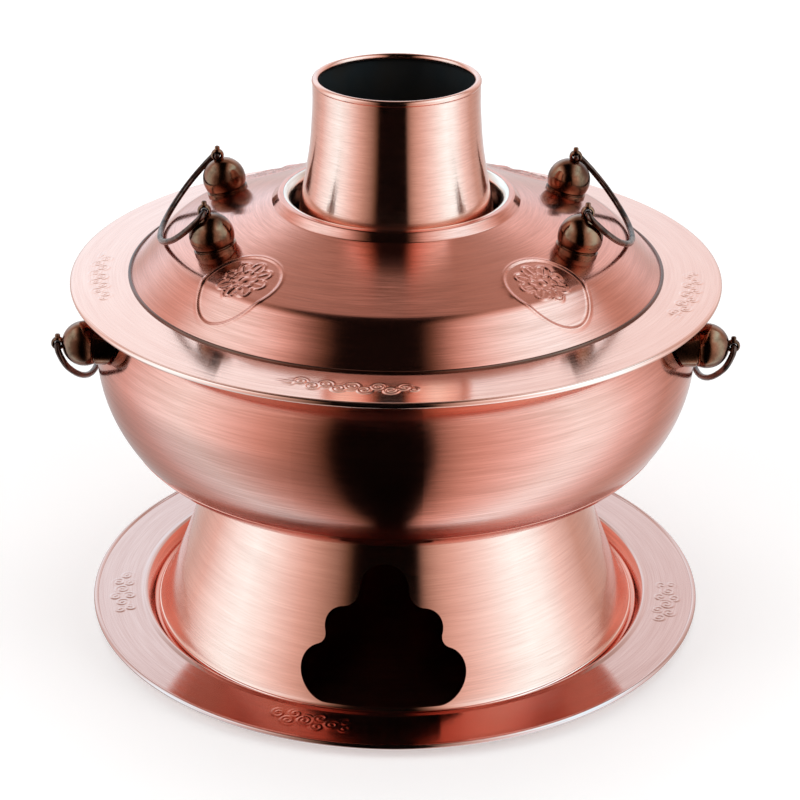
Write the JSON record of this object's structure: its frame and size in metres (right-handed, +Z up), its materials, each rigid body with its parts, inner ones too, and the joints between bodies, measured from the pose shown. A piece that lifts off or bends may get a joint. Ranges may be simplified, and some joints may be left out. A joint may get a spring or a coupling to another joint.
{
  "type": "charcoal chimney hot pot",
  "caption": "Charcoal hot pot: a ring-shaped bowl round a fire tube on a vented trumpet stand, with a shallow tray, a lift-off lid, a removable chimney and swinging wire bails.",
  "frame": {"origin": "the pot's axis in the plane that the tray stands on", "axes": "+Z up along the pot's axis, -Y towards the air vent at the front, +X and -X towards the bails"},
  "size_m": [0.3294, 0.32, 0.2809],
  "materials": {
    "copper": "copper-coloured plating, brushed round the axis and polished",
    "copper_inner": "dull copper-coloured plating",
    "bare_steel": "polished bare stainless steel",
    "bronze": "dark antique bronze, polished",
    "bail_wire": "dark plated wire",
    "fastener_steel": "plain steel",
    "grate_iron": "sooty"
  },
  "bodies": {
    "tray": {"tray": "copper"},
    "pot": {"stand": "copper", "bowl_rim": "copper", "bowl": "copper", "bowl_floor": "copper", "fire_tube": "copper_inner", "grate_ring": "grate_iron", "grate": "grate_iron", "bowl_balls": "bronze", "bowl_feet": "bronze", "bowl_eyes_left": "bronze", "bowl_eyes_right": "bronze", "bowl_washers": "fastener_steel", "bowl_nuts": "fastener_steel"},
    "chimney": {"chimney": "copper"},
    "lid": {"lid": "copper", "lid_ring": "copper_inner", "lid_collar": "bare_steel", "lid_balls": "bronze", "lid_feet": "bronze", "lid_eyes_left": "bronze", "lid_eyes_right": "bronze", "lid_washers": "fastener_steel", "lid_nuts": "fastener_steel"},
    "lid_bail_left": {"lid_bail_left": "bail_wire"},
    "lid_bail_right": {"lid_bail_right": "bail_wire"},
    "bowl_bail_left": {"bowl_bail_left": "bail_wire"},
    "bowl_bail_right": {"bowl_bail_right": "bail_wire"}
  },
  "joints": [
    {"name": "pot_lift", "type": "slide", "parent": "tray", "child": "pot", "axis": [0, 0, 1], "range_m": [0, 0.15]},
    {"name": "lid_lift", "type": "slide", "parent": "pot", "child": "lid", "axis": [0, 0, 1], "range_m": [0, 0.12]},
    {"name": "chimney_lift", "type": "slide", "parent": "pot", "child": "chimney", "axis": [0, 0, 1], "range_m": [0, 0.1]},
    {"name": "lid_bail_left_hinge", "type": "hinge", "parent": "lid", "child": "lid_bail_left", "pos_m": [-0.09007, 0, 0.22752], "axis": [0, 1, 0], "range_deg": [0, 215]},
    {"name": "lid_bail_right_hinge", "type": "hinge", "parent": "lid", "child": "lid_bail_right", "pos_m": [0.09007, 0, 0.22752], "axis": [0, -1, 0], "range_deg": [0, 215]},
    {"name": "bowl_bail_left_hinge", "type": "hinge", "parent": "pot", "child": "bowl_bail_left", "pos_m": [-0.1614, 0, 0.1636], "axis": [0, 1, 0], "range_deg": [0, 210]},
    {"name": "bowl_bail_right_hinge", "type": "hinge", "parent": "pot", "child": "bowl_bail_right", "pos_m": [0.1614, 0, 0.1636], "axis": [0, -1, 0], "range_deg": [0, 210]}
  ]
}
